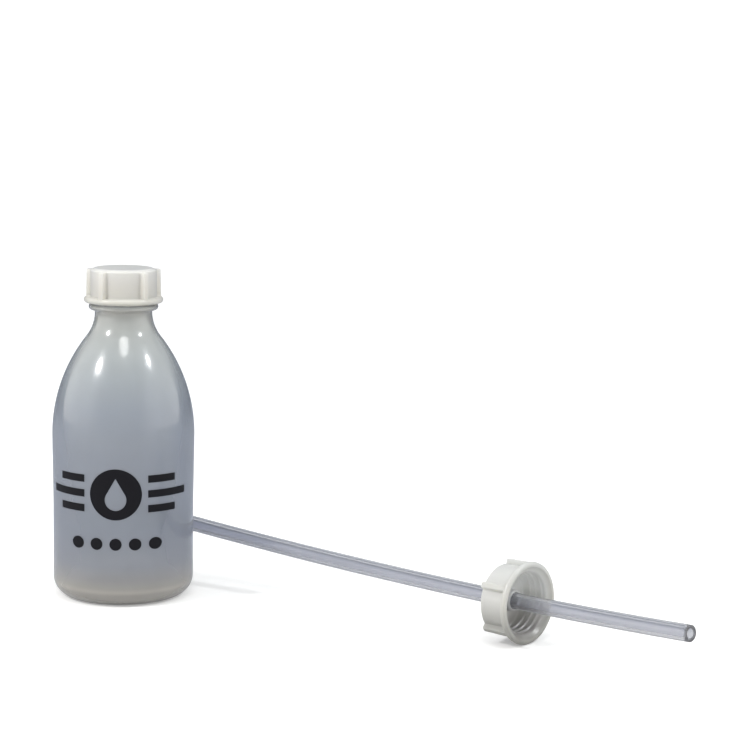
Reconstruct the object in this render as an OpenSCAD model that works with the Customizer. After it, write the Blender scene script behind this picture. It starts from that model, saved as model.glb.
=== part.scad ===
// Narrow-neck lubricant bottle with a ribbed screw cap, and a second ribbed cap that
// carries a long bowed spout tube. Millimetres, +Z up, the bottle's base centre at the origin.

/* [Bottle body] */

// Outer radius of the straight part of the body
body_r = 30.3; // [26:0.1:34]
// Outer radius where the body meets the shoulder
shoulder_r = 30.7; // [27:0.1:35]
// Height where the body starts to widen towards the shoulder
taper_z = 41.5; // [36:0.5:60]
// Height where the shoulder begins
shoulder_z = 70.5; // [64:0.5:80]
// Radius of the shoulder's rounded outline
shoulder_arc_r = 69.5; // [60:0.5:80]
// Radius of the rounded heel
heel_r = 8.2; // [4:0.1:11]
// Wall thickness of the body and shoulder
wall = 1; // [0.7:0.05:1.6]
// Radius of the hollow under the base, inside the foot ring
hollow_r = 18.5; // [10:0.5:20]
// Height of the hollow under the base
hollow_h = 2.2; // [1:0.1:4]

/* [Bottle neck] */

// Outer radius of the neck under its bead
neck_r = 12.3; // [12:0.05:13.6]
// Radius of the hollow curve from shoulder to neck
neck_arc_r = 17; // [10:0.5:20]
// Length of straight neck under the bead
neck_len = 1; // [0.5:0.1:4]
// Outer radius of the bead under the cap
bead_r = 14.9; // [14.2:0.05:15.6]
// Height of the bead
bead_h = 2.7; // [2:0.1:4.2]
// Outer radius of the mouth that the cap screws over
finish_r = 11.7; // [11:0.05:12]
// Radius of the bore in the neck
bore_r = 9.8; // [8:0.1:10]
// Length of the mouth above the bead
finish_h = 14; // [11:0.1:15]
// Space left between the bead and the closed cap's flange
bead_gap = 0.4; // [0.2:0.05:1]
// Chamfer on the mouth's outer edge
mouth_chamfer = 0.5; // [0.2:0.05:0.9]

/* [Ribbed caps] */

// Thickness of the cap's closed end
cap_end = 1.3; // [0.9:0.05:2]
// Outer radius of the cap between its ribs
cap_r = 14.2; // [14:0.05:15]
// Inner radius of the cap's skirt
cap_bore_r = 12.9; // [12.6:0.05:13.2]
// Inner radius of the cap at its rim, where the skirt opens out
cap_mouth_r = 15; // [13.4:0.05:15.1]
// Depth over which the skirt opens out
cap_mouth_h = 2.2; // [1:0.1:2.6]
// Radius of the flat closed end inside its bevelled edge
cap_edge_r = 12.3; // [10:0.1:13.5]
// Height of the bevel round the closed end
cap_bevel = 0.8; // [0.5:0.1:2]
// Number of grip ribs round the cap
rib_count = 5; // [4:1:8]
// Width of a rib at its tip
rib_w = 2.3; // [1.5:0.1:3]
// How much wider a rib is at its root, on each side
rib_flare = 0.5; // [0:0.1:1]
// Radius over the rib tips at their upper end
rib_top_r = 16.4; // [15:0.05:16.5]
// Radius over the rib tips at the flange
rib_foot_r = 16.7; // [16:0.05:16.8]
// Distance from the upper end of a rib to the bevel
rib_drop = 0.15; // [0.05:0.05:1]
// Radius of the flange round the cap's open end
flange_r = 17; // [16.6:0.05:18]
// Thickness of the flange
flange_t = 2.6; // [1.6:0.1:3]
// Turn of the closed cap on the bottle, in degrees
closed_cap_turn = 24; // [-180:1:180]
// Turn of the loose cap about its own axis, in degrees
loose_cap_turn = 12.9; // [-36:0.1:36]

/* [Spout tube] */

// Outer radius of the tube
tube_r = 3.35; // [2.8:0.05:4]
// Wall thickness of the tube
tube_wall = 1.45; // [1:0.05:1.8]
// Radius of the tube's natural bow
bow_r = 595; // [400:5:1500]
// Length of tube past the loose cap's rim
tube_out = 81; // [40:1:110]
// Length of tube behind the loose cap's rim
tube_back = 219; // [120:1:260]
// Wall thickness of the collar that grips the tube, at its free end
collar_wall = 0.8; // [0.5:0.05:1.2]
// Outer radius of the collar's foot, on the inside of the loose cap's closed end
collar_foot_r = 5; // [4.9:0.1:7]
// Length of the collar inside the loose cap
collar_h = 6.2; // [3:0.1:10]
// Clearance between the tube and the collar's bore, on the radius
tube_clear = 0.08; // [0.05:0.01:0.1]

/* [Loose cap's place] */

// Angle of the loose cap's axis to +X, towards the front, in degrees
cap_yaw = 41.6; // [30:0.1:55]
// How far the loose cap's open end is raised by its ribs and the tube, in degrees
cap_tilt = 0.8; // [0:0.1:3]
// Tilt of the bow's plane from level, in degrees
bow_tilt = 28.5; // [0:0.5:60]
// Length along the tube from the loose cap's middle to where it leans on the bottle
lean_len = 184.2; // [150:0.1:230]
// Gap left where the tube leans on the bottle
lean_gap = 0.3; // [0.1:0.05:1]

/* [Printed design] */

// Thickness of the ink
ink_t = 0.06; // [0.04:0.01:0.12]
// Height of the round badge's centre
badge_z = 49.5; // [44:0.5:54]
// Radius of the round badge
badge_r = 11; // [8:0.5:13]
// Radius of the drop shown inside the badge
drop_r = 4.6; // [3:0.1:6]
// Height of each side bar
bar_h = 3.2; // [2:0.1:5]
// Distance from one side bar to the next
bar_pitch = 6.4; // [4:0.1:8]
// Distance of the side bars' inner ends from the middle
bar_start = 13.5; // [12:0.1:16]
// Distance of the longest side bar's outer end from the middle
bar_end = 27.5; // [20:0.1:29]
// How much shorter the upper and lower side bars are
bar_step = 3.5; // [0:0.1:6]
// Height of the line of marks under the badge
mark_z = 28; // [24:0.5:32]
// Radius of each round mark
mark_r = 2.6; // [1.5:0.1:4]
// Distance from one mark to the next
mark_pitch = 8.2; // [6:0.1:10]
// Number of marks in the line
mark_count = 5; // [3:2:7]

/* [Hidden] */

$fn = 96;

// Overlap used where one drawn piece is joined to or cut from another
over = 0.5;

// Heights up the bottle
neck_arc_z = shoulder_z
    + sqrt(pow(shoulder_arc_r + neck_arc_r, 2) - pow(neck_r + neck_arc_r + shoulder_arc_r - shoulder_r, 2));
bead_z = neck_arc_z + neck_len;
seat_z = bead_z + bead_h;
mouth_z = seat_z + finish_h;
cap_h = mouth_z + cap_end - seat_z - bead_gap;
hollow_arc_r = (hollow_r * hollow_r + hollow_h * hollow_h) / (2 * hollow_h);

// The inner wall's curve from the shoulder into the bore
inner_arc_r = neck_arc_r + neck_r - bore_r;
inner_arc_z = shoulder_z
    + sqrt(pow(shoulder_arc_r - wall + inner_arc_r, 2)
        - pow(bore_r + inner_arc_r + shoulder_arc_r - shoulder_r, 2));

// The tube's bow touches the loose cap's axis halfway down the cap, and its collar just clears it
touch_depth = cap_h / 2;
collar_bore_r = tube_r + tube_clear;
collar_top = cap_h - cap_end;

// Unit vectors in the ground frame: along the loose cap's axis, across it, and to the bow's centre
axis_dir = [cos(cap_tilt) * cos(cap_yaw), -cos(cap_tilt) * sin(cap_yaw), sin(cap_tilt)];
side_dir = [sin(cap_yaw), cos(cap_yaw), 0];
bow_dir = sin(bow_tilt) * cross(axis_dir, side_dir) - cos(bow_tilt) * side_dir;

// Where the tube leans on the bottle, seen from above
lean_turn = lean_len / bow_r * 180 / PI;
lean_tangent = cos(lean_turn) * axis_dir - sin(lean_turn) * bow_dir;
lean_level = norm([lean_tangent.x, lean_tangent.y]);
lean_normal = [-lean_tangent.y, lean_tangent.x, 0] / lean_level;
lean_offset = bow_r * ((1 - cos(lean_turn)) * bow_dir - sin(lean_turn) * axis_dir);
lean_point = (body_r + tube_r + lean_gap) * lean_normal;
rim_z = flange_t / 2 + (flange_r - flange_t / 2) * cos(cap_tilt) + flange_t / 2 * sin(cap_tilt);
touch_z = rim_z - touch_depth * sin(cap_tilt);
touch_point = [lean_point.x - lean_offset.x, lean_point.y - lean_offset.y, touch_z];
rim_point = touch_point + touch_depth * axis_dir;

// Outer radius of the body at a height between the heel and the shoulder
function body_r_at(z) = z < taper_z
    ? body_r
    : body_r + (shoulder_r - body_r) * (z - taper_z) / (shoulder_z - taper_z);

// Half outline of a vessel: heel, body, shoulder, neck curve and a straight neck up to top_z
module vessel_outline(side_r, wide_r, foot_z, corner_r, arc_r, hollow_curve_r, hollow_curve_z, throat_r, top_z) {
    arc_x = shoulder_r - shoulder_arc_r;
    reach = arc_r + hollow_curve_r;
    meet_x = arc_x + arc_r * (throat_r + hollow_curve_r - arc_x) / reach;
    meet_z = shoulder_z + arc_r * (hollow_curve_z - shoulder_z) / reach;
    translate([0, foot_z])
        square([side_r - corner_r, corner_r]);
    intersection() {
        translate([side_r - corner_r, foot_z + corner_r])
            circle(corner_r);
        translate([side_r - corner_r - over, foot_z])
            square([corner_r + over, corner_r]);
    }
    translate([0, foot_z + corner_r])
        square([side_r, taper_z - foot_z - corner_r]);
    polygon([[0, taper_z], [side_r, taper_z], [wide_r, shoulder_z], [0, shoulder_z]]);
    intersection() {
        translate([arc_x, shoulder_z])
            circle(arc_r);
        translate([0, shoulder_z])
            square([wide_r, meet_z - shoulder_z]);
    }
    difference() {
        translate([0, meet_z - over])
            square([meet_x, hollow_curve_z - meet_z + over]);
        translate([throat_r + hollow_curve_r, hollow_curve_z])
            circle(hollow_curve_r);
    }
    translate([0, hollow_curve_z - over])
        square([throat_r, top_z - hollow_curve_z + over]);
}

module bottle() {
    color([0.80, 0.82, 0.82, 0.85])
        rotate_extrude()
            difference() {
                union() {
                    vessel_outline(body_r, shoulder_r, 0, heel_r, shoulder_arc_r,
                        neck_arc_r, neck_arc_z, neck_r, bead_z + bead_h / 2);
                    translate([bead_r - bead_h / 2, bead_z + bead_h / 2])
                        circle(bead_h / 2);
                    translate([0, bead_z])
                        square([bead_r - bead_h / 2, bead_h]);
                    translate([0, seat_z])
                        polygon([
                            [0, 0],
                            [finish_r, 0],
                            [finish_r, finish_h - mouth_chamfer],
                            [finish_r - mouth_chamfer, finish_h],
                            [0, finish_h]
                        ]);
                }
                translate([0, hollow_h - hollow_arc_r])
                    circle(hollow_arc_r);
                difference() {
                    vessel_outline(body_r - wall, shoulder_r - wall, wall, heel_r - wall,
                        shoulder_arc_r - wall, inner_arc_r, inner_arc_z, bore_r, mouth_z + over);
                    translate([0, hollow_h - hollow_arc_r])
                        circle(hollow_arc_r + wall);
                }
                translate([-2 * hollow_arc_r, -hollow_arc_r])
                    square([2 * hollow_arc_r, 4 * hollow_arc_r]);
            }
}

// Plain drop shape with its point up
module drop_shape(r) {
    circle(r);
    polygon([[-r * cos(35), r * sin(35)], [0, 0], [r * cos(35), r * sin(35)], [0, 2 * r]]);
}

// The printed design laid flat, X across and Y up
module design() {
    translate([0, badge_z])
        difference() {
            circle(badge_r);
            translate([0, -drop_r / 2])
                drop_shape(drop_r);
        }
    for (side = [-1, 1])
        for (row = [-1, 0, 1]) {
            bar_len = bar_end - bar_start - abs(row) * bar_step;
            translate([side * (bar_start + bar_len / 2), badge_z + row * bar_pitch])
                square([bar_len, bar_h], center = true);
        }
    for (i = [0 : mark_count - 1])
        translate([(i - (mark_count - 1) / 2) * mark_pitch, mark_z])
            circle(mark_r);
}

module front_print() {
    low = mark_z - mark_r - 1;
    high = badge_z + badge_r + 1;
    color([0.09, 0.09, 0.10])
        intersection() {
            rotate([90, 0, 0])
                linear_extrude(height = body_r + shoulder_r)
                    design();
            rotate_extrude()
                polygon([
                    [body_r, low],
                    [body_r + ink_t, low],
                    [body_r + ink_t, taper_z],
                    [body_r_at(high) + ink_t, high],
                    [body_r_at(high), high],
                    [body_r, taper_z]
                ]);
        }
}

// A ribbed cap standing on its open end
module cap_shell() {
    difference() {
        union() {
            rotate_extrude() {
                polygon([
                    [0, 0],
                    [cap_r, 0],
                    [cap_r, cap_h - cap_bevel],
                    [cap_edge_r, cap_h],
                    [0, cap_h]
                ]);
                translate([flange_r - flange_t / 2, flange_t / 2])
                    circle(flange_t / 2);
                translate([cap_r - over, 0])
                    square([flange_r - flange_t / 2 - cap_r + over, flange_t]);
            }
            for (i = [0 : rib_count - 1])
                rotate([0, 0, i * 360 / rib_count])
                    rib();
        }
        translate([0, 0, -over])
            cylinder(r = cap_bore_r, h = cap_h - cap_end + over);
        translate([0, 0, -over])
            cylinder(r = cap_mouth_r, h = over);
        cylinder(r1 = cap_mouth_r, r2 = cap_bore_r, h = cap_mouth_h);
    }
}

// One grip rib, flared at its root, that rises from the flange and is cut square under the bevel
module rib() {
    rib_h = cap_h - cap_bevel - rib_drop;
    root_x = cap_r - over;
    intersection() {
        linear_extrude(height = cap_h)
            polygon([
                [root_x, -rib_w / 2 - rib_flare],
                [rib_top_r, -rib_w / 2],
                [rib_foot_r, -rib_w / 2],
                [rib_foot_r, rib_w / 2],
                [rib_top_r, rib_w / 2],
                [root_x, rib_w / 2 + rib_flare]
            ]);
        rotate([90, 0, 0])
            linear_extrude(height = 2 * rib_w + 2 * rib_flare, center = true)
                polygon([
                    [root_x - over, flange_t / 2],
                    [rib_foot_r, flange_t / 2],
                    [rib_top_r, rib_h],
                    [root_x - over, rib_h]
                ]);
    }
}

module screw_cap() {
    color([0.84, 0.84, 0.81])
        translate([0, 0, seat_z + bead_gap])
            rotate([0, 0, closed_cap_turn])
                cap_shell();
}

// Puts a cap that stands on its open end into the loose cap's place, lying on its flange
module in_loose_place() {
    translate(rim_point)
        rotate([0, 0, -cap_yaw])
            rotate([0, -90 - cap_tilt, 0])
                children();
}

module applicator_cap() {
    color([0.84, 0.84, 0.81])
        in_loose_place()
            difference() {
                union() {
                    rotate([0, 0, loose_cap_turn])
                        cap_shell();
                    translate([0, 0, collar_top - collar_h])
                        cylinder(r1 = collar_bore_r + collar_wall, r2 = collar_foot_r, h = collar_h);
                    translate([0, 0, collar_top])
                        cylinder(r = collar_foot_r, h = over);
                }
                translate([0, 0, -over])
                    cylinder(r = collar_bore_r, h = cap_h + 2 * over);
            }
}

module spout_tube() {
    out_turn = (tube_out + touch_depth) / bow_r * 180 / PI;
    back_turn = (tube_back - touch_depth) / bow_r * 180 / PI;
    color([0.70, 0.72, 0.78, 0.6])
        in_loose_place()
            translate([0, 0, touch_depth])
                rotate([0, 0, 90 + bow_tilt])
                    translate([-bow_r, 0, 0])
                        rotate([-90, 0, 0])
                            rotate([0, 0, -back_turn])
                                rotate_extrude(angle = back_turn + out_turn, $fn = 720)
                                    translate([bow_r, 0])
                                        difference() {
                                            circle(tube_r, $fn = 40);
                                            circle(tube_r - tube_wall, $fn = 32);
                                        }
}

bottle();
front_print();
screw_cap();
applicator_cap();
spout_tube();
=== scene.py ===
import math

import bmesh
import bpy
from mathutils import Matrix, Vector


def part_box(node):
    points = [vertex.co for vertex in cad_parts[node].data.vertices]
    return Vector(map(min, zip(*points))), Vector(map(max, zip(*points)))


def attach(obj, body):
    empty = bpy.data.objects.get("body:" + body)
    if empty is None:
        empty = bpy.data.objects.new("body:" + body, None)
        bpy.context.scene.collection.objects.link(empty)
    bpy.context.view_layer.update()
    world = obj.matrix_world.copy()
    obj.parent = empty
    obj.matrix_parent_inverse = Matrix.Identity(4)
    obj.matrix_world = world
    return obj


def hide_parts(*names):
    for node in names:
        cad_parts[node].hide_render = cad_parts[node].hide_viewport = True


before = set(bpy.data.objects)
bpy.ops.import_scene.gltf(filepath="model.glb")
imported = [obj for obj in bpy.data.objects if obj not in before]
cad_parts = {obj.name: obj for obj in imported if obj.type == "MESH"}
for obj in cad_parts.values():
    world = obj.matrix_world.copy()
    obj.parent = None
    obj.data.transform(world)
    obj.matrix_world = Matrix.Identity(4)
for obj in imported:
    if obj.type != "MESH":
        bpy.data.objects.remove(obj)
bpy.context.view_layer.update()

# The camera. It stands a little to the right of the bottle and looks slightly down, with a long
# lens, as for a catalogue photo of something small on a table.
PHOTO_WIDTH = 740
FOCAL_PIXELS = 2200
CAMERA_PLACE = (0.10653, -0.94106, 0.23764)
CAMERA_PITCH = 0.1451
CAMERA_ROLL = 0.0164

camera_data = bpy.data.cameras.new("camera")
camera_data.sensor_fit = "HORIZONTAL"
camera_data.sensor_width = 36
camera_data.lens = camera_data.sensor_width * FOCAL_PIXELS / PHOTO_WIDTH
camera_data.clip_start = 0.05
camera_data.clip_end = 20
camera = bpy.data.objects.new("camera", camera_data)
camera.matrix_world = (
    Matrix.Translation(CAMERA_PLACE)
    @ Matrix.Rotation(math.pi / 2 - CAMERA_PITCH, 4, "X")
    @ Matrix.Rotation(CAMERA_ROLL, 4, "Z")
)
bpy.context.scene.collection.objects.link(camera)
bpy.context.scene.camera = camera

# The floor. A white sheet that runs level under the bottle and curves up far behind it, so that
# no edge shows between floor and wall. The plastics see it as it shows in them in the photograph:
# pale in front, bluish grey behind, darkest far back and paler again high up on the wall.
# Each row is a distance behind the bottle's axis, and the tint there.
SWEEP_TINTS = (
    (-0.3, (0.60, 0.59, 0.57)),
    (-0.05, (0.50, 0.50, 0.50)),
    (0.12, (0.30, 0.32, 0.37)),
    (1.2, (0.10, 0.115, 0.155)),
)
SWEEP_HALF_WIDTH = 4.0
SWEEP_FRONT = -3.0
SWEEP_BACK = 2.2
SWEEP_HEIGHT = 3.2
SWEEP_RADIUS = 1.2
SWEEP_STEPS = 24
WALL_PALE_FROM = 0.5
WALL_PALE_TO = 1.3


def sweep_mesh():
    """The sheet's outline from front to back, drawn out to its whole width."""
    outline = [(SWEEP_FRONT, 0.0)]
    for step in range(SWEEP_STEPS + 1):
        turn = step / SWEEP_STEPS * math.pi / 2
        outline.append(
            (
                SWEEP_BACK - SWEEP_RADIUS + SWEEP_RADIUS * math.sin(turn),
                SWEEP_RADIUS - SWEEP_RADIUS * math.cos(turn),
            )
        )
    outline.append((SWEEP_BACK, SWEEP_HEIGHT))
    mesh = bmesh.new()
    rows = [
        [mesh.verts.new((side * SWEEP_HALF_WIDTH, y, z)) for side in (-1, 1)]
        for y, z in outline
    ]
    for low, high in zip(rows, rows[1:]):
        mesh.faces.new((low[0], low[1], high[1], high[0])).smooth = True
    data = bpy.data.meshes.new("studio_sweep")
    mesh.to_mesh(data)
    mesh.free()
    return data


def node_material(name):
    """An empty node material with a Principled BSDF, and that shader."""
    material = bpy.data.materials.new(name)
    material.use_nodes = True
    return material, material.node_tree.nodes["Principled BSDF"]


def fill_ramp(ramp, rows):
    """Gives a colour ramp its (place, colour) rows, spread evenly from the first to the last."""
    low, high = rows[0][0], rows[-1][0]
    stops = ramp.color_ramp.elements
    for _ in rows[2:]:
        stops.new(0.5)
    for stop, (place, colour) in zip(stops, rows):
        stop.position = (place - low) / (high - low)
        stop.color = (*colour, 1)


sweep_material, sweep_shader = node_material("studio_paper")
sweep_nodes = sweep_material.node_tree
paper_grain = sweep_nodes.nodes.new("ShaderNodeTexNoise")
paper_grain.inputs["Scale"].default_value = 900
paper_tint = sweep_nodes.nodes.new("ShaderNodeValToRGB")
paper_tint.color_ramp.elements[0].color = (0.93, 0.93, 0.935, 1)
paper_tint.color_ramp.elements[1].color = (0.96, 0.96, 0.965, 1)
paper_place = sweep_nodes.nodes.new("ShaderNodeTexCoord")
paper_split = sweep_nodes.nodes.new("ShaderNodeSeparateXYZ")
paper_depth = sweep_nodes.nodes.new("ShaderNodeMapRange")
paper_depth.inputs["From Min"].default_value = SWEEP_TINTS[0][0]
paper_depth.inputs["From Max"].default_value = SWEEP_TINTS[-1][0]
paper_grey = sweep_nodes.nodes.new("ShaderNodeValToRGB")
fill_ramp(paper_grey, SWEEP_TINTS)
paper_rise = sweep_nodes.nodes.new("ShaderNodeMapRange")
paper_rise.inputs["From Min"].default_value = WALL_PALE_FROM
paper_rise.inputs["From Max"].default_value = WALL_PALE_TO
paper_wall = sweep_nodes.nodes.new("ShaderNodeMix")
paper_wall.data_type = "RGBA"
paper_wall.inputs["B"].default_value = (0.62, 0.64, 0.66, 1)
paper_ray = sweep_nodes.nodes.new("ShaderNodeLightPath")
paper_choice = sweep_nodes.nodes.new("ShaderNodeMix")
paper_choice.data_type = "RGBA"
sweep_nodes.links.new(paper_place.outputs["Object"], paper_split.inputs["Vector"])
sweep_nodes.links.new(paper_split.outputs["Y"], paper_depth.inputs["Value"])
sweep_nodes.links.new(paper_split.outputs["Z"], paper_rise.inputs["Value"])
sweep_nodes.links.new(paper_depth.outputs["Result"], paper_grey.inputs["Fac"])
sweep_nodes.links.new(paper_rise.outputs["Result"], paper_wall.inputs["Factor"])
sweep_nodes.links.new(paper_grey.outputs["Color"], paper_wall.inputs["A"])
sweep_nodes.links.new(paper_grain.outputs["Fac"], paper_tint.inputs["Fac"])
sweep_nodes.links.new(paper_wall.outputs["Result"], paper_choice.inputs["A"])
sweep_nodes.links.new(paper_tint.outputs["Color"], paper_choice.inputs["B"])
sweep_nodes.links.new(paper_ray.outputs["Is Camera Ray"], paper_choice.inputs["Factor"])
sweep_nodes.links.new(paper_choice.outputs["Result"], sweep_shader.inputs["Base Color"])
sweep_nodes.links.new(paper_choice.outputs["Result"], sweep_shader.inputs["Emission Color"])
sweep_shader.inputs["Emission Strength"].default_value = 0.25
sweep_shader.inputs["Roughness"].default_value = 0.9
sweep = bpy.data.objects.new("studio_sweep", sweep_mesh())
sweep.data.materials.append(sweep_material)
bpy.context.scene.collection.objects.link(sweep)

# The lights. Two small bright heads stand left and right in front and above, and give the small
# sharp highlights on the shoulder. A wide soft one hangs above, and the room round them is pale.
bpy.context.scene.view_settings.view_transform = "Standard"
AIM = Vector((0.02, 0.0, 0.09))
# Each head: direction from AIM, distance, disk width, watts, colour.
HEADS = {
    "left_head": ((-0.65, -0.41, 0.64), 1.5, 0.22, 9.0, (1.0, 0.99, 0.97)),
    "right_head": ((0.71, -0.18, 0.68), 1.5, 0.15, 5.0, (0.97, 0.99, 1.0)),
    "overhead_soft": ((0.05, -0.43, 0.90), 1.6, 0.5, 2.6, (1.0, 1.0, 0.98)),
}
for head_name, (direction, distance, size, watts, colour) in HEADS.items():
    head_data = bpy.data.lights.new(head_name, "AREA")
    head_data.shape = "DISK"
    head_data.size = size
    head_data.energy = watts
    head_data.color = colour
    head = bpy.data.objects.new(head_name, head_data)
    away = Vector(direction).normalized()
    head.location = AIM + away * distance
    head.rotation_euler = away.to_track_quat("Z", "Y").to_euler()
    bpy.context.scene.collection.objects.link(head)

room = bpy.data.worlds.new("pale_room")
room.use_nodes = True
room_nodes = room.node_tree
room_place = room_nodes.nodes.new("ShaderNodeTexCoord")
room_split = room_nodes.nodes.new("ShaderNodeSeparateXYZ")
room_aside = room_nodes.nodes.new("ShaderNodeMath")
room_aside.operation = "ABSOLUTE"
room_side = room_nodes.nodes.new("ShaderNodeMapRange")
room_side.interpolation_type = "SMOOTHSTEP"
room_side.inputs["From Min"].default_value = 0.45
room_side.inputs["From Max"].default_value = 0.9
room_walls = room_nodes.nodes.new("ShaderNodeMix")
room_walls.data_type = "RGBA"
room_walls.inputs["A"].default_value = (0.70, 0.70, 0.69, 1)
room_walls.inputs["B"].default_value = (1.3, 1.29, 1.25, 1)
room_rise = room_nodes.nodes.new("ShaderNodeMapRange")
room_rise.inputs["From Min"].default_value = 0.35
room_rise.inputs["From Max"].default_value = 0.9
room_shade = room_nodes.nodes.new("ShaderNodeMix")
room_shade.data_type = "RGBA"
room_shade.inputs["B"].default_value = (0.75, 0.76, 0.74, 1)
room_ray = room_nodes.nodes.new("ShaderNodeLightPath")
room_choice = room_nodes.nodes.new("ShaderNodeMix")
room_choice.data_type = "RGBA"
room_choice.inputs["B"].default_value = (1, 1, 1, 1)
room_nodes.links.new(room_place.outputs["Generated"], room_split.inputs["Vector"])
room_nodes.links.new(room_split.outputs["X"], room_aside.inputs[0])
room_nodes.links.new(room_aside.outputs["Value"], room_side.inputs["Value"])
room_nodes.links.new(room_side.outputs["Result"], room_walls.inputs["Factor"])
room_nodes.links.new(room_split.outputs["Z"], room_rise.inputs["Value"])
room_nodes.links.new(room_rise.outputs["Result"], room_shade.inputs["Factor"])
room_nodes.links.new(room_walls.outputs["Result"], room_shade.inputs["A"])
room_nodes.links.new(room_shade.outputs["Result"], room_choice.inputs["A"])
room_nodes.links.new(room_ray.outputs["Is Camera Ray"], room_choice.inputs["Factor"])
room_nodes.links.new(
    room_choice.outputs["Result"], room_nodes.nodes["Background"].inputs["Color"]
)
bpy.context.scene.world = room

# The bottle. One blow-moulded piece of milky soft plastic with a wall of about a millimetre: heel,
# foot ring round a shallow hollow, body, rounded shoulder, bead, and a mouth with a raised thread.
MM = 0.001
bottle_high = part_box("bottle")[1]
MOUTH_Z = bottle_high.z
SHOULDER_R = bottle_high.x
BODY_R = SHOULDER_R - 0.4 * MM
WALL = 1.0 * MM
HEEL_R = 8.2 * MM
TAPER_Z = 41.5 * MM
SHOULDER_Z = 70.5 * MM
SHOULDER_ARC_R = 69.5 * MM
NECK_R = 12.3 * MM
NECK_ARC_R = 17 * MM
FINISH_H = 14 * MM
FINISH_R = 11.7 * MM
BORE_R = 9.8 * MM
BEAD_R = 14.9 * MM
BEAD_H = 2.7 * MM
HOLLOW_R = 18.5 * MM
HOLLOW_H = 2.2 * MM
SEAT_Z = MOUTH_Z - FINISH_H
BEAD_Z = SEAT_Z - BEAD_H
NECK_ARC_Z = SHOULDER_Z + math.sqrt(
    (SHOULDER_ARC_R + NECK_ARC_R) ** 2
    - (NECK_R + NECK_ARC_R + SHOULDER_ARC_R - SHOULDER_R) ** 2
)
THROAT_TOP_Z = NECK_ARC_Z + 1.0 * MM
THROAT_FOOT_Z = NECK_ARC_Z - 3.0 * MM
THREAD_PITCH = 3.0 * MM
THREAD_FADE = 0.12
NECK_THREAD_H = 0.38 * MM
NECK_THREAD_W = 0.95 * MM
NECK_THREAD_FROM = 3.2 * MM
NECK_THREAD_TURNS = 3.0
ROUND_STEPS = 240


def arc(cx, cz, radius, start, end, steps):
    """Points of an arc in the (radius, height) plane, angles in degrees."""
    points = []
    for step in range(steps + 1):
        turn = math.radians(start + (end - start) * step / steps)
        points.append((cx + radius * math.cos(turn), cz + radius * math.sin(turn)))
    return points


def line(a, b, steps):
    """Points of a straight stretch after its first point."""
    return [
        (a[0] + (b[0] - a[0]) * step / steps, a[1] + (b[1] - a[1]) * step / steps)
        for step in range(1, steps + 1)
    ]


def lathe_mesh(name, outline, reach=None, turns=None, place=None):
    """Turns a closed outline of (radius, height) rows round Z. reach(i, r, z, angle) may move a
    point outwards or inwards, and turns lists the angles where they aren't evenly spread. place is
    the matrix that puts the piece where it belongs."""
    angles = turns or [2 * math.pi * k / ROUND_STEPS for k in range(ROUND_STEPS)]
    mesh = bmesh.new()
    rows = []
    for index, (radius, height) in enumerate(outline):
        if radius < 1e-7:
            rows.append([mesh.verts.new((0, 0, height))])
            continue
        row = []
        for angle in angles:
            r = radius + (reach(index, radius, height, angle) if reach else 0.0)
            row.append(
                mesh.verts.new((r * math.cos(angle), r * math.sin(angle), height))
            )
        rows.append(row)
    count = len(angles)
    for low, high in zip(rows, rows[1:] + rows[:1]):
        for k in range(count):
            n = (k + 1) % count
            ring = [
                low[k % len(low)],
                low[n % len(low)],
                high[n % len(high)],
                high[k % len(high)],
            ]
            corners = list(dict.fromkeys(ring))
            if len(corners) > 2:
                mesh.faces.new(corners).smooth = True
    bmesh.ops.recalc_face_normals(mesh, faces=mesh.faces)
    data = bpy.data.meshes.new(name)
    mesh.to_mesh(data)
    mesh.free()
    if place:
        data.transform(place)
    return data


def shell_rows(grow):
    """The bottle's side from heel to neck, moved inwards by grow."""
    outer = []
    outer += arc(BODY_R - HEEL_R, HEEL_R, HEEL_R - grow, -90, 0, 14)
    outer += line((BODY_R - grow, HEEL_R), (BODY_R - grow, TAPER_Z), 6)
    outer += line((BODY_R - grow, TAPER_Z), (SHOULDER_R - grow, SHOULDER_Z), 6)
    lean = math.degrees(
        math.atan2(
            NECK_ARC_Z - SHOULDER_Z,
            NECK_R + NECK_ARC_R + SHOULDER_ARC_R - SHOULDER_R,
        )
    )
    outer += arc(
        SHOULDER_R - SHOULDER_ARC_R, SHOULDER_Z, SHOULDER_ARC_R - grow, 0, lean, 40
    )[1:]
    outer += arc(
        NECK_R + NECK_ARC_R, NECK_ARC_Z, NECK_ARC_R + grow, 180 + lean, 180, 20
    )[1:]
    return outer


hollow_arc_r = (HOLLOW_R**2 + HOLLOW_H**2) / (2 * HOLLOW_H)
hollow_turn = math.degrees(math.asin(HOLLOW_R / hollow_arc_r))
outer_rows = arc(0, HOLLOW_H - hollow_arc_r, hollow_arc_r, 90, 90 - hollow_turn, 12)
outer_rows += line((HOLLOW_R, 0), (BODY_R - HEEL_R, 0), 2)
outer_rows += shell_rows(0)[1:]
outer_rows += [(NECK_R, BEAD_Z - 0.05 * MM)]
outer_rows += arc(BEAD_R - BEAD_H / 2, BEAD_Z + BEAD_H / 2, BEAD_H / 2, -86, 86, 14)
outer_rows += [(FINISH_R + 0.1 * MM, SEAT_Z)]
finish_start = len(outer_rows)
outer_rows += line((FINISH_R, SEAT_Z + 0.1 * MM), (FINISH_R, MOUTH_Z - 0.5 * MM), 54)
finish_end = len(outer_rows)
outer_rows += [
    (FINISH_R - 0.12 * MM, MOUTH_Z - 0.2 * MM),
    (FINISH_R - 0.45 * MM, MOUTH_Z),
    (BORE_R + 0.3 * MM, MOUTH_Z),
    (BORE_R, MOUTH_Z - 0.3 * MM),
]
inner_rows = list(reversed(shell_rows(WALL)))
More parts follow.
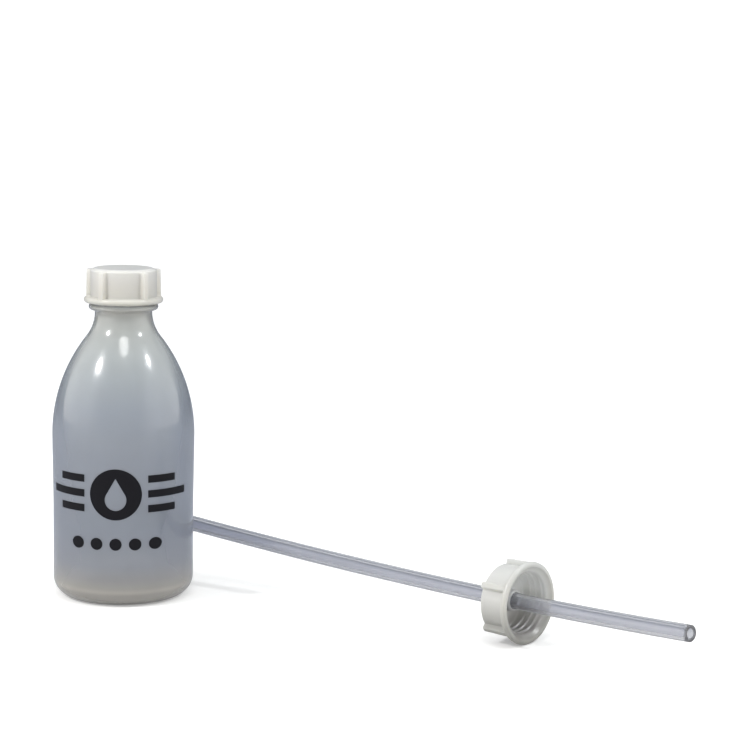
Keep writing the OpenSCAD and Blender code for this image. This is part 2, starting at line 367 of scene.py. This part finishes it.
bore_rows = line(
    (BORE_R, MOUTH_Z - 0.3 * MM), (BORE_R, THROAT_TOP_Z), 8
) + line((BORE_R, THROAT_TOP_Z), (NECK_R - WALL, THROAT_FOOT_Z), 6)
inner_rows = [row for row in inner_rows if row[1] < THROAT_FOOT_Z - 0.2 * MM]
floor_rows = arc(
    0, HOLLOW_H - hollow_arc_r, hollow_arc_r + WALL, 90 - hollow_turn, 90, 12
)
inner_rows = [row for row in inner_rows if row[1] > WALL + 0.05 * MM] + floor_rows
bottle_rows = outer_rows + bore_rows + inner_rows


def ridge(offset, width):
    """Height of a rounded thread ridge across its width, from 0 to 1."""
    share = abs(offset) / width
    if share >= 1:
        return 0.0
    return 0.5 + 0.5 * math.cos(math.pi * share)


def helix_height(angle, height, first_z, turns, width):
    """Height from 0 to 1 of a thread that starts at first_z and fades out at both ends."""
    best = 0.0
    for lap in range(int(turns) + 2):
        along = lap + angle / (2 * math.pi)
        if not 0 <= along <= turns:
            continue
        fade = min(1.0, along / THREAD_FADE, (turns - along) / THREAD_FADE)
        best = max(
            best, fade * ridge(height - first_z - along * THREAD_PITCH, width)
        )
    return best


def neck_thread(index, radius, height, angle):
    """How far the mouth's side is pushed out at a place to form its thread."""
    if not finish_start <= index < finish_end:
        return 0.0
    return NECK_THREAD_H * helix_height(
        angle, height, SEAT_Z + NECK_THREAD_FROM, NECK_THREAD_TURNS, NECK_THREAD_W
    )


# Milky plastic varies softly in how much light it lets through. The group lays faint clouds over
# a colour and gives the uneven gloss and the fine moulding marks that go with them.
def milky_group():
    """The shader node group behind every milky plastic of the part."""
    group = bpy.data.node_groups.new("milky_plastic", "ShaderNodeTree")
    face = group.interface
    face.new_socket("Colour", in_out="INPUT", socket_type="NodeSocketColor")
    for socket_name, value in (
        ("Cloud Scale", 60.0),
        ("Cloud Amount", 0.06),
        ("Mark Scale", 1500.0),
        ("Roughness", 0.3),
        ("Roughness Spread", 0.05),
    ):
        socket = face.new_socket(
            socket_name, in_out="INPUT", socket_type="NodeSocketFloat"
        )
        socket.default_value = value
    face.new_socket("Colour", in_out="OUTPUT", socket_type="NodeSocketColor")
    face.new_socket("Roughness", in_out="OUTPUT", socket_type="NodeSocketFloat")
    face.new_socket("Marks", in_out="OUTPUT", socket_type="NodeSocketFloat")
    nodes, links = group.nodes, group.links
    inside = nodes.new("NodeGroupInput")
    outside = nodes.new("NodeGroupOutput")
    place = nodes.new("ShaderNodeTexCoord")
    clouds = nodes.new("ShaderNodeTexNoise")
    clouds.inputs["Detail"].default_value = 3
    links.new(place.outputs["Object"], clouds.inputs["Vector"])
    links.new(inside.outputs["Cloud Scale"], clouds.inputs["Scale"])
    centred = nodes.new("ShaderNodeMath")
    centred.operation = "SUBTRACT"
    centred.inputs[1].default_value = 0.5
    links.new(clouds.outputs["Fac"], centred.inputs[0])
    gain = nodes.new("ShaderNodeMath")
    gain.operation = "MULTIPLY_ADD"
    gain.inputs[2].default_value = 1.0
    links.new(centred.outputs["Value"], gain.inputs[0])
    links.new(inside.outputs["Cloud Amount"], gain.inputs[1])
    tinted = nodes.new("ShaderNodeVectorMath")
    tinted.operation = "SCALE"
    links.new(inside.outputs["Colour"], tinted.inputs[0])
    links.new(gain.outputs["Value"], tinted.inputs["Scale"])
    links.new(tinted.outputs["Vector"], outside.inputs["Colour"])
    rough = nodes.new("ShaderNodeMath")
    rough.operation = "MULTIPLY_ADD"
    links.new(centred.outputs["Value"], rough.inputs[0])
    links.new(inside.outputs["Roughness Spread"], rough.inputs[1])
    links.new(inside.outputs["Roughness"], rough.inputs[2])
    links.new(rough.outputs["Value"], outside.inputs["Roughness"])
    marks = nodes.new("ShaderNodeTexNoise")
    marks.inputs["Detail"].default_value = 4
    links.new(place.outputs["Object"], marks.inputs["Vector"])
    links.new(inside.outputs["Mark Scale"], marks.inputs["Scale"])
    links.new(marks.outputs["Fac"], outside.inputs["Marks"])
    return group


MILKY = milky_group()


def milky_material(name, tints, settings, transmission, bump):
    """A milky plastic: its colours as (height, colour) rows from low to high, the group's other
    inputs, the share of light let through and the depth of the moulding marks in metres."""
    material, shader = node_material(name)
    tree = material.node_tree
    place = tree.nodes.new("ShaderNodeTexCoord")
    split = tree.nodes.new("ShaderNodeSeparateXYZ")
    level = tree.nodes.new("ShaderNodeMapRange")
    level.inputs["From Min"].default_value = tints[0][0]
    level.inputs["From Max"].default_value = tints[-1][0]
    ramp = tree.nodes.new("ShaderNodeValToRGB")
    fill_ramp(ramp, tints)
    milky = tree.nodes.new("ShaderNodeGroup")
    milky.node_tree = MILKY
    for socket_name, value in settings.items():
        milky.inputs[socket_name].default_value = value
    relief = tree.nodes.new("ShaderNodeBump")
    relief.inputs["Distance"].default_value = bump
    tree.links.new(place.outputs["Object"], split.inputs["Vector"])
    tree.links.new(split.outputs["Z"], level.inputs["Value"])
    tree.links.new(level.outputs["Result"], ramp.inputs["Fac"])
    tree.links.new(ramp.outputs["Color"], milky.inputs["Colour"])
    tree.links.new(milky.outputs["Marks"], relief.inputs["Height"])
    tree.links.new(relief.outputs["Normal"], shader.inputs["Normal"])
    tree.links.new(milky.outputs["Colour"], shader.inputs["Base Color"])
    tree.links.new(milky.outputs["Roughness"], shader.inputs["Roughness"])
    shader.inputs["IOR"].default_value = 1.51
    shader.inputs["Transmission Weight"].default_value = transmission
    return material, shader


# Each row is a height, and the tint there. The pale line low on the body is a painted highlight
# where the foot ring's inside edge catches the light, and the paler neck is painted light against
# the shade under the cap's flange.
bottle_tints_with_painted_light = (
    (0.0, (0.78, 0.75, 0.70)),
    (0.0055, (0.78, 0.75, 0.70)),
    # painted highlight: a pale line where the foot ring's inside edge catches the light
    (0.0068, (0.95, 0.90, 0.83)),
    (0.0085, (0.76, 0.74, 0.70)),
    (0.012, (0.64, 0.64, 0.66)),
    (0.018, (0.53, 0.56, 0.64)),
    (0.035, (0.52, 0.56, 0.64)),
    (0.065, (0.58, 0.62, 0.70)),
    (0.085, (0.67, 0.72, 0.79)),
    (0.098, (0.79, 0.84, 0.87)),
    (0.108, (0.88, 0.92, 0.92)),
    # painted light: the neck made paler against the shade under the cap's flange
    (0.118, (0.90, 0.92, 0.89)),
    (0.1275, (0.96, 0.96, 0.92)),
)
bottle_material, bottle_shader = milky_material(
    "bottle_plastic",
    bottle_tints_with_painted_light,
    {"Cloud Scale": 45.0, "Cloud Amount": 0.08, "Roughness": 0.2},
    0.75,
    0.00001,
)
bottle_shader.inputs["Specular IOR Level"].default_value = 0.25
bottle_shader.inputs["Coat Weight"].default_value = 1.0
bottle_shader.inputs["Coat Roughness"].default_value = 0.06
bottle_shader.inputs["Subsurface Weight"].default_value = 0.25
bottle_shader.inputs["Subsurface Radius"].default_value = (0.004, 0.004, 0.004)
bottle_shader.inputs["Subsurface Scale"].default_value = 1.0

bottle_piece = bpy.data.objects.new(
    "milky_bottle", lathe_mesh("milky_bottle", bottle_rows, reach=neck_thread)
)
bottle_piece.data.materials.append(bottle_material)
bpy.context.scene.collection.objects.link(bottle_piece)
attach(bottle_piece, "bottle")
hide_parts("bottle")

# The print. Thick black screen-printing ink on the bottle's front, a little glossy, with a finely
# uneven film as it leaves the mesh of the screen.
ink_material, ink_shader = node_material("screen_ink")
ink_tree = ink_material.node_tree
ink_film = ink_tree.nodes.new("ShaderNodeTexNoise")
ink_film.inputs["Scale"].default_value = 700
ink_film.inputs["Detail"].default_value = 4
ink_tint = ink_tree.nodes.new("ShaderNodeValToRGB")
ink_tint.color_ramp.elements[0].color = (0.004, 0.004, 0.006, 1)
ink_tint.color_ramp.elements[1].color = (0.013, 0.013, 0.018, 1)
ink_gloss = ink_tree.nodes.new("ShaderNodeMapRange")
ink_gloss.inputs["To Min"].default_value = 0.34
ink_gloss.inputs["To Max"].default_value = 0.5
ink_relief = ink_tree.nodes.new("ShaderNodeBump")
ink_relief.inputs["Distance"].default_value = 0.00001
ink_tree.links.new(ink_film.outputs["Fac"], ink_tint.inputs["Fac"])
ink_tree.links.new(ink_tint.outputs["Color"], ink_shader.inputs["Base Color"])
ink_tree.links.new(ink_film.outputs["Fac"], ink_gloss.inputs["Value"])
ink_tree.links.new(ink_gloss.outputs["Result"], ink_shader.inputs["Roughness"])
ink_tree.links.new(ink_film.outputs["Fac"], ink_relief.inputs["Height"])
ink_tree.links.new(ink_relief.outputs["Normal"], ink_shader.inputs["Normal"])
ink_shader.inputs["Specular IOR Level"].default_value = 0.12
ink_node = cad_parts["front_print"]
ink_node.data.materials.clear()
ink_node.data.materials.append(ink_material)

# The closed cap. Injection-moulded in a whiter milky plastic, with five flared grip ribs, a
# rounded flange, a bevelled closed end and a raised thread inside, screwed on the bottle.
CAP_H = 14.9 * MM
CAP_END = 1.3 * MM
CAP_R = 14.2 * MM
CAP_BORE_R = 12.9 * MM
CAP_EDGE_R = 12.3 * MM
CAP_BEVEL = 0.8 * MM
CAP_MOUTH_R = 15 * MM
CAP_MOUTH_H = 2.2 * MM
RIB_COUNT = 5
RIB_W = 2.3 * MM
RIB_FLARE = 0.5 * MM
RIB_TOP_R = 16.4 * MM
RIB_FOOT_R = 16.7 * MM
RIB_DROP = 0.15 * MM
RIB_TOP_Z = CAP_H - CAP_BEVEL - RIB_DROP
FLANGE_R = 17 * MM
FLANGE_T = 2.6 * MM
CAP_THREAD_H = 0.7 * MM
CAP_THREAD_W = 0.85 * MM
CAP_THREAD_FROM = 3.3 * MM
CAP_THREAD_TURNS = 2.8
CLOSED_CAP_TURN = math.radians(24)
RIB_ANGLE_STEPS = 18
GAP_ANGLE_STEPS = 26
RIB_ROUND = 0.18 * MM


def rib_reach(index, radius, height, angle):
    """How far the cap's side is pushed out at a place to form its ribs."""
    if index not in rib_row_range:
        return 0.0
    pitch = 2 * math.pi / RIB_COUNT
    off = abs((angle + pitch / 2) % pitch - pitch / 2)
    share = (height - FLANGE_T / 2) / (RIB_TOP_Z - FLANGE_T / 2)
    tip = RIB_FOOT_R + (RIB_TOP_R - RIB_FOOT_R) * share
    across = tip * math.sin(off)
    half_tip = RIB_W / 2
    half_root = half_tip + RIB_FLARE
    if across <= half_tip:
        edge = max(0.0, (across - (half_tip - RIB_ROUND)) / RIB_ROUND)
        r = tip - RIB_ROUND * (1 - math.sqrt(max(0.0, 1 - edge * edge)))
    elif across <= half_root:
        fall = (across - half_tip) / (half_root - half_tip)
        smooth = fall * fall * (3 - 2 * fall)
        r = tip - RIB_ROUND - (tip - RIB_ROUND - CAP_R) * (0.35 * fall + 0.65 * smooth)
    else:
        r = 0.0
    over_top = height - (RIB_TOP_Z - RIB_ROUND)
    if over_top > 0:
        drop = min(1.0, over_top / RIB_ROUND)
        r = min(r, tip - RIB_ROUND * (1 - math.sqrt(max(0.0, 1 - drop * drop))))
    if height > RIB_TOP_Z + 1e-6:
        r = 0.0
    return max(0.0, r - radius)


def cap_angles():
    """Angles round a cap, close together across the ribs."""
    pitch = 2 * math.pi / RIB_COUNT
    half = (RIB_W / 2 + RIB_FLARE) * 1.08 / RIB_TOP_R
    angles = []
    for rib in range(RIB_COUNT):
        centre = rib * pitch
        for step in range(RIB_ANGLE_STEPS):
            angles.append(centre - half + 2 * half * step / RIB_ANGLE_STEPS)
        for step in range(GAP_ANGLE_STEPS):
            angles.append(
                centre + half + (pitch - 2 * half) * step / GAP_ANGLE_STEPS
            )
    return angles


flange_mid = (FLANGE_R - FLANGE_T / 2, FLANGE_T / 2)
cap_rows = [(CAP_MOUTH_R + 0.15 * MM, 0.0)]
cap_rows += arc(*flange_mid, FLANGE_T / 2, -90, 0, 8)
rib_start = len(cap_rows) - 1
cap_rows += arc(*flange_mid, FLANGE_T / 2, 0, 80, 8)[1:]
cap_rows += [(CAP_R + 0.3 * MM, FLANGE_T + 0.02 * MM), (CAP_R, FLANGE_T + 0.3 * MM)]
cap_rows += line(cap_rows[-1], (CAP_R, RIB_TOP_Z - RIB_ROUND), 16)
cap_rows += [
    (CAP_R, RIB_TOP_Z - 0.6 * RIB_ROUND),
    (CAP_R, RIB_TOP_Z - 0.3 * RIB_ROUND),
    (CAP_R, RIB_TOP_Z - 0.1 * RIB_ROUND),
    (CAP_R, RIB_TOP_Z),
]
rib_row_range = range(rib_start, len(cap_rows))
cap_rows += [
    (CAP_R, RIB_TOP_Z + 0.02 * MM),
    (CAP_R - 0.02 * MM, CAP_H - CAP_BEVEL - 0.05 * MM),
    (CAP_R - 0.12 * MM, CAP_H - CAP_BEVEL + 0.06 * MM),
    (CAP_EDGE_R + 0.2 * MM, CAP_H - 0.1 * MM),
    (CAP_EDGE_R - 0.05 * MM, CAP_H - 0.01 * MM),
    (CAP_EDGE_R - 0.6 * MM, CAP_H),
]
inside_top_z = CAP_H - CAP_END
inner_wall = [(CAP_BORE_R - 0.5 * MM, inside_top_z)]
inner_wall += [(CAP_BORE_R - 0.12 * MM, inside_top_z - 0.12 * MM)]
inner_wall += line(
    (CAP_BORE_R, inside_top_z - 0.4 * MM), (CAP_BORE_R, CAP_MOUTH_H), 50
)
inner_wall += line((CAP_BORE_R, CAP_MOUTH_H), (CAP_MOUTH_R - 0.06 * MM, 0.2 * MM), 4)
inner_wall += [(CAP_MOUTH_R, 0.06 * MM)]


def cap_reach(index, radius, height, angle):
    """How far a cap's surface moves out to form its ribs, or in to form its thread."""
    if index in rib_row_range:
        return rib_reach(index, radius, height, angle)
    if index in inner_row_range and radius > CAP_BORE_R - 0.05 * MM:
        return -CAP_THREAD_H * helix_height(
            angle % (2 * math.pi), height, CAP_THREAD_FROM, CAP_THREAD_TURNS, CAP_THREAD_W
        )
    return 0.0


end_rows = [(CAP_EDGE_R * share, CAP_H) for share in (0.7, 0.4, 0.15)] + [(0.0, CAP_H)]
closed_rows = cap_rows + end_rows
closed_rows += [(0.0, CAP_H - CAP_END)]
closed_rows += [(CAP_EDGE_R * s, CAP_H - CAP_END) for s in (0.15, 0.4, 0.7)]
inner_row_range = range(len(closed_rows), len(closed_rows) + len(inner_wall))
closed_rows += inner_wall

# Tints by height from the cap's foot to its closed end: a painted shade that darkens the cap
# towards its foot.
cap_tints_with_painted_shade = ((0.64, 0.63, 0.59), (0.72, 0.70, 0.66), (0.82, 0.81, 0.78))
CAP_CLEARNESS = 0.12
CAP_MARKS = 0.012 * MM
cap_settings = {
    "Cloud Scale": 110.0,
    "Cloud Amount": 0.07,
    "Mark Scale": 2400.0,
    "Roughness": 0.33,
}
closed_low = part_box("screw_cap")[0]
closed_place = Matrix.Translation((0, 0, closed_low.z)) @ Matrix.Rotation(
    CLOSED_CAP_TURN, 4, "Z"
)
cap_material, cap_shader = milky_material(
    "cap_plastic",
    [
        (closed_low.z + CAP_H * step / 2, colour)
        for step, colour in enumerate(cap_tints_with_painted_shade)
    ],
    cap_settings,
    CAP_CLEARNESS,
    CAP_MARKS,
)
cap_shader.inputs["Subsurface Weight"].default_value = 0.7
cap_shader.inputs["Subsurface Radius"].default_value = (0.0035, 0.0034, 0.0031)
cap_shader.inputs["Subsurface Scale"].default_value = 1.0
cap_shader.inputs["Coat Weight"].default_value = 0.4
cap_shader.inputs["Coat Roughness"].default_value = 0.22

closed_cap = bpy.data.objects.new(
    "closed_cap",
    lathe_mesh("closed_cap", closed_rows, cap_reach, cap_angles(), closed_place),
)
closed_cap.data.materials.append(cap_material)
bpy.context.scene.collection.objects.link(closed_cap)
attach(closed_cap, "closed_cap")
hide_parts("screw_cap")

# The loose cap. The same moulding with a hole in its end and a collar that grips the tube, lying
# on its flange beside the bottle with its open end turned to the right and to the front.
CAP_YAW = math.radians(41.6)
CAP_TILT = math.radians(0.8)
LOOSE_CAP_TURN = math.radians(12.9)
RIM_POINT = Vector((172.6017, -76.2894, 17.0166)) * MM
TUBE_R = 3.35 * MM
TUBE_CLEAR = 0.08 * MM
COLLAR_WALL = 0.8 * MM
COLLAR_BORE_R = TUBE_R + TUBE_CLEAR
COLLAR_TIP_R = COLLAR_BORE_R + COLLAR_WALL
COLLAR_FOOT_R = 5 * MM
COLLAR_H = 6.2 * MM
COLLAR_Z = CAP_H - CAP_END - COLLAR_H
loose_place = (
    Matrix.Translation(RIM_POINT)
    @ Matrix.Rotation(-CAP_YAW, 4, "Z")
    @ Matrix.Rotation(-math.pi / 2 - CAP_TILT, 4, "Y")
)
loose_rows = cap_rows + [(CAP_EDGE_R * s, CAP_H) for s in (0.8, 0.6, 0.4)]
loose_rows += [(COLLAR_BORE_R + 0.2 * MM, CAP_H), (COLLAR_BORE_R, CAP_H - 0.2 * MM)]
loose_rows += line(
    (COLLAR_BORE_R, CAP_H - 0.2 * MM), (COLLAR_BORE_R, COLLAR_Z + 0.15 * MM), 6
)
loose_rows += [(COLLAR_BORE_R + 0.15 * MM, COLLAR_Z), (COLLAR_TIP_R - 0.15 * MM, COLLAR_Z)]
loose_rows += line(
    (COLLAR_TIP_R, COLLAR_Z + 0.15 * MM), (COLLAR_FOOT_R, CAP_H - CAP_END - 0.4 * MM), 8
)
loose_rows += [(COLLAR_FOOT_R + 0.4 * MM, CAP_H - CAP_END)]
loose_rows += [(CAP_EDGE_R * s, CAP_H - CAP_END) for s in (0.65, 0.85)]
inner_row_range = range(len(loose_rows), len(loose_rows) + len(inner_wall))
loose_rows += inner_wall
# Each row is a height above the floor, and the tint there: a painted shade darkens the lying cap
# towards the floor.
loose_tints_with_painted_shade = (
    (0.0, (0.32, 0.315, 0.30)),
    (0.010, (0.40, 0.40, 0.385)),
    (0.020, (0.62, 0.61, 0.585)),
    (0.034, (0.58, 0.59, 0.585)),
)
loose_material, loose_shader = milky_material(
    "loose_cap_plastic",
    loose_tints_with_painted_shade,
    cap_settings,
    CAP_CLEARNESS,
    CAP_MARKS,
)

# The cap's inside takes a ramp of its own, by height, from where the skirt opens out inwards: its
# floor side lies in its own shade, and its upper side lets light through.
INSIDE_DARK_Z = 6 * MM
INSIDE_PALE_Z = 20 * MM
loose_tree = loose_material.node_tree
loose_milky = next(
    node for node in loose_tree.nodes if node.bl_idname == "ShaderNodeGroup"
)
loose_ramp = loose_milky.inputs["Colour"].links[0].from_node
inside_place = loose_tree.nodes.new("ShaderNodeTexCoord")
inside_offset = loose_tree.nodes.new("ShaderNodeVectorMath")
inside_offset.operation = "SUBTRACT"
inside_offset.inputs[1].default_value = RIM_POINT
inside_cross = loose_tree.nodes.new("ShaderNodeVectorMath")
inside_cross.operation = "CROSS_PRODUCT"
inside_cross.inputs[1].default_value = loose_place.to_3x3() @ Vector((0, 0, 1))
inside_radius = loose_tree.nodes.new("ShaderNodeVectorMath")
inside_radius.operation = "LENGTH"
inside_share = loose_tree.nodes.new("ShaderNodeMapRange")
inside_share.inputs["From Min"].default_value = CAP_MOUTH_R - 0.2 * MM
inside_share.inputs["From Max"].default_value = CAP_BORE_R + 0.1 * MM
inside_split = loose_tree.nodes.new("ShaderNodeSeparateXYZ")
inside_level = loose_tree.nodes.new("ShaderNodeMapRange")
inside_level.inputs["From Min"].default_value = INSIDE_DARK_Z
inside_level.inputs["From Max"].default_value = INSIDE_PALE_Z
inside_ramp = loose_tree.nodes.new("ShaderNodeValToRGB")
inside_ramp.color_ramp.elements[0].color = (0.34, 0.33, 0.33, 1)
inside_ramp.color_ramp.elements[1].color = (0.84, 0.85, 0.84, 1)
inside_tint = loose_tree.nodes.new("ShaderNodeMix")
inside_tint.data_type = "RGBA"
loose_tree.links.new(inside_place.outputs["Object"], inside_offset.inputs[0])
loose_tree.links.new(inside_offset.outputs["Vector"], inside_cross.inputs[0])
loose_tree.links.new(inside_cross.outputs["Vector"], inside_radius.inputs[0])
loose_tree.links.new(inside_radius.outputs["Value"], inside_share.inputs["Value"])
loose_tree.links.new(inside_share.outputs["Result"], inside_tint.inputs["Factor"])
loose_tree.links.new(loose_ramp.outputs["Color"], inside_tint.inputs["A"])
loose_tree.links.new(inside_place.outputs["Object"], inside_split.inputs["Vector"])
loose_tree.links.new(inside_split.outputs["Z"], inside_level.inputs["Value"])
loose_tree.links.new(inside_level.outputs["Result"], inside_ramp.inputs["Fac"])
loose_tree.links.new(inside_ramp.outputs["Color"], inside_tint.inputs["B"])
loose_tree.links.new(inside_tint.outputs["Result"], loose_milky.inputs["Colour"])
loose_shader.inputs["Subsurface Weight"].default_value = 0.9
loose_shader.inputs["Subsurface Radius"].default_value = (0.005, 0.005, 0.0047)
loose_shader.inputs["Subsurface Scale"].default_value = 1.0
loose_shader.inputs["Coat Weight"].default_value = 0.3
loose_shader.inputs["Coat Roughness"].default_value = 0.3
loose_cap = bpy.data.objects.new(
    "loose_cap",
    lathe_mesh(
        "loose_cap",
        loose_rows,
        cap_reach,
        cap_angles(),
        loose_place @ Matrix.Rotation(LOOSE_CAP_TURN, 4, "Z"),
    ),
)
loose_cap.data.materials.append(loose_material)
bpy.context.scene.collection.objects.link(loose_cap)
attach(loose_cap, "bottle")
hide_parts("applicator_cap")

# The spout tube. Clear extruded tube with a thick wall and a natural bow, cut square at both
# ends, pushed through the loose cap's collar.
BOW_R = 595 * MM
BOW_TILT = math.radians(28.5)
TUBE_OUT = 81 * MM
TUBE_BACK = 219 * MM
TUBE_WALL = 1.45 * MM
TUBE_RINGS = 200
TUBE_SIDES = 40
END_ROUND = 0.15 * MM


def tube_mesh():
    """The tube's wall, outside, over its open end and back inside, swept along the bow."""
    mesh = bmesh.new()
    middle = CAP_H / 2
    start = -(TUBE_BACK - middle) / BOW_R
    end = (TUBE_OUT + middle) / BOW_R
    round_turn = END_ROUND / BOW_R
    turns = [
        start + round_turn + (end - start - 2 * round_turn) * ring / TUBE_RINGS
        for ring in range(1, TUBE_RINGS)
    ]
    bore = TUBE_R - TUBE_WALL
    stations = [(start, TUBE_R - END_ROUND), (start + round_turn, TUBE_R)]
    stations += [(turn, TUBE_R) for turn in turns]
    stations += [(end - round_turn, TUBE_R), (end, TUBE_R - END_ROUND)]
    stations += [(end, bore + END_ROUND), (end - round_turn, bore)]
    stations += [(turn, bore) for turn in reversed(turns)]
    stations += [(start + round_turn, bore), (start, bore + END_ROUND)]
    rows = []
    for turn, radius in stations:
        row = []
        for side in range(TUBE_SIDES):
            angle = 2 * math.pi * side / TUBE_SIDES
            reach = BOW_R + radius * math.cos(angle)
            row.append(
                mesh.verts.new(
                    (
                        -BOW_R + reach * math.cos(turn),
                        radius * math.sin(angle),
                        -reach * math.sin(turn),
                    )
                )
            )
        rows.append(row)
    for low, high in zip(rows, rows[1:] + rows[:1]):
        for side in range(TUBE_SIDES):
            after = (side + 1) % TUBE_SIDES
            mesh.faces.new((low[side], low[after], high[after], high[side])).smooth = True
    bmesh.ops.recalc_face_normals(mesh, faces=mesh.faces)
    data = bpy.data.meshes.new("clear_tube")
    mesh.to_mesh(data)
    mesh.free()
    data.transform(
        loose_place
        @ Matrix.Translation((0, 0, middle))
        @ Matrix.Rotation(math.pi / 2 + BOW_TILT, 4, "Z")
    )
    return data


# Seen flat on the tube is clear with a bluish tint, and towards its outline a painted dark rim
# darkens its colour, standing for the dark surroundings that its wall shows edge-on.
tube_material, tube_shader = node_material("tube_plastic")
tube_tree = tube_material.node_tree
tube_haze = tube_tree.nodes.new("ShaderNodeTexNoise")
tube_haze.inputs["Scale"].default_value = 160
tube_haze.inputs["Detail"].default_value = 3
tube_tint = tube_tree.nodes.new("ShaderNodeValToRGB")
tube_tint.color_ramp.elements[0].color = (0.76, 0.77, 0.83, 1)
tube_tint.color_ramp.elements[1].color = (0.83, 0.84, 0.89, 1)
tube_edge = tube_tree.nodes.new("ShaderNodeLayerWeight")
tube_edge.inputs["Blend"].default_value = 0.5
tube_painted_rim_shade = tube_tree.nodes.new("ShaderNodeMapRange")
tube_painted_rim_shade.inputs["From Min"].default_value = 0.72
tube_painted_rim_shade.inputs["From Max"].default_value = 0.95
# painted shade: a dark colour mixed in towards the tube's outline
tube_tint_with_painted_rim = tube_tree.nodes.new("ShaderNodeMix")
tube_tint_with_painted_rim.data_type = "RGBA"
tube_tint_with_painted_rim.inputs["B"].default_value = (0.13, 0.135, 0.17, 1)
tube_gloss = tube_tree.nodes.new("ShaderNodeMapRange")
tube_gloss.inputs["To Min"].default_value = 0.04
tube_gloss.inputs["To Max"].default_value = 0.1
tube_tree.links.new(tube_haze.outputs["Fac"], tube_tint.inputs["Fac"])
tube_tree.links.new(tube_tint.outputs["Color"], tube_tint_with_painted_rim.inputs["A"])
tube_tree.links.new(tube_edge.outputs["Facing"], tube_painted_rim_shade.inputs["Value"])
tube_tree.links.new(tube_painted_rim_shade.outputs["Result"], tube_tint_with_painted_rim.inputs["Factor"])
tube_tree.links.new(tube_tint_with_painted_rim.outputs["Result"], tube_shader.inputs["Base Color"])
tube_tree.links.new(tube_haze.outputs["Fac"], tube_gloss.inputs["Value"])
tube_tree.links.new(tube_gloss.outputs["Result"], tube_shader.inputs["Roughness"])
tube_shader.inputs["IOR"].default_value = 1.48
tube_shader.inputs["Transmission Weight"].default_value = 0.9
clear_tube = bpy.data.objects.new("clear_tube", tube_mesh())
clear_tube.data.materials.append(tube_material)
bpy.context.scene.collection.objects.link(clear_tube)
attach(clear_tube, "tube")
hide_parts("spout_tube")
